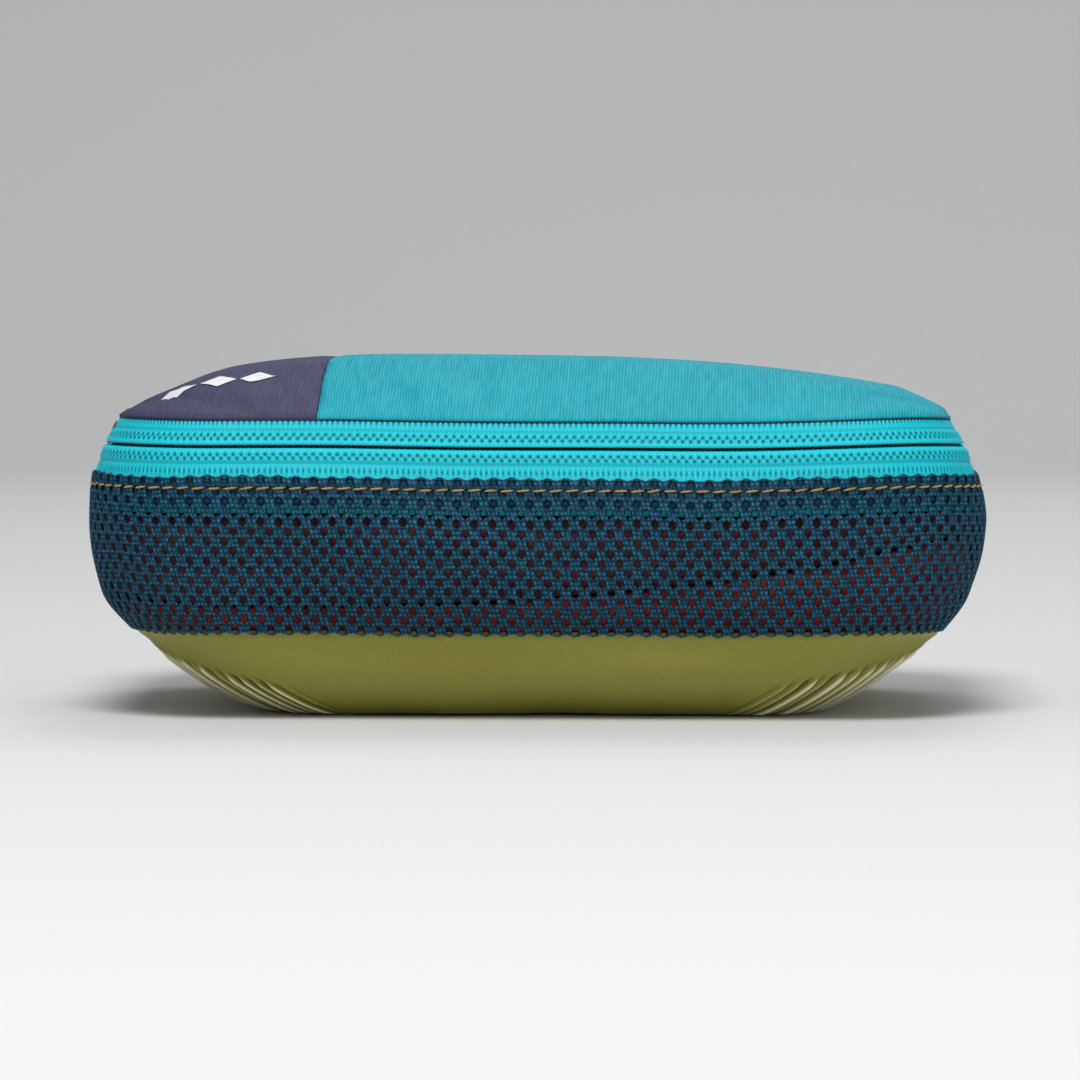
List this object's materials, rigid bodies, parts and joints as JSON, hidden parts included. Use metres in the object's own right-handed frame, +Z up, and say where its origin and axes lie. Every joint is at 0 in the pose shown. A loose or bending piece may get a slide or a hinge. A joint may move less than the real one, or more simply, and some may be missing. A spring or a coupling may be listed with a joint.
{
  "type": "packing cube",
  "caption": "Soft mesh-sided travel packing cube with a hinged domed fabric lid, a zip round three sides and folded clothes inside.",
  "frame": {"origin": "the middle of the flat face that the cube rests on", "axes": "+Z up, +X towards the right end as seen from the front, so the contrasting end patch is at -X, and +Y towards the hinge at the back"},
  "size_m": [0.2451, 0.164, 0.0929],
  "materials": {
    "bottom_fabric": "thin woven nylon with a soft sheen",
    "net": "knitted polyester net with oval holes",
    "patch_fabric": "ribbed woven polyester, matt",
    "lid_fabric": "ribbed woven polyester, matt",
    "zip_tape": "woven zip tape with a light sheen",
    "zip_coil": "nylon monofilament",
    "binding": "woven edge tape",
    "zip_metal": "dark plated zinc, satin",
    "pull_grip": "soft moulded grip, matt",
    "charcoal_cloth": "cotton twill",
    "rust_cloth": "cotton jersey",
    "plum_cloth": "soft knit",
    "slate_cloth": "cotton jersey",
    "thread": "twisted polyester sewing thread"
  },
  "bodies": {
    "base": {"bottom_panel": "bottom_fabric", "mesh_gusset": "net", "back_panel": "patch_fabric", "bottom_seam_binding": "binding", "corner_seam_binding_left": "binding", "corner_seam_binding_right": "binding", "zip_tape_lower": "zip_tape", "hinge_strip_lower": "zip_tape", "zip_coil_lower": "zip_coil", "zip_stop_left": "zip_metal", "zip_stop_right": "zip_metal", "folded_trousers": "charcoal_cloth", "folded_shirt": "rust_cloth", "folded_sweater": "plum_cloth", "folded_tee": "slate_cloth"},
    "lid": {"lid_main_panel": "lid_fabric", "lid_end_patch": "patch_fabric", "lid_seam_binding": "binding", "patch_seam_binding": "binding", "zip_tape_upper": "zip_tape", "hinge_strip_upper": "zip_tape", "zip_coil_upper": "zip_coil"},
    "slider": {"slider_body": "zip_metal", "slider_bail": "zip_metal"},
    "pull": {"pull_link": "zip_metal", "pull_grip": "pull_grip"}
  },
  "joints": [
    {"name": "lid_hinge", "type": "hinge", "parent": "base", "child": "lid", "pos_m": [0, 0.0815, 0.075], "axis": [-1, 0, 0], "range_deg": [0, 180]},
    {"name": "slider_run", "type": "slide", "parent": "base", "child": "slider", "axis": [0, -1, 0], "range_m": [0, 0.07]},
    {"name": "pull_swing", "type": "hinge", "parent": "slider", "child": "pull", "pos_m": [-0.12069, 0.0317, 0.07598], "axis": [-0.4104, 0, -0.9119], "range_deg": [0, 130]}
  ]
}
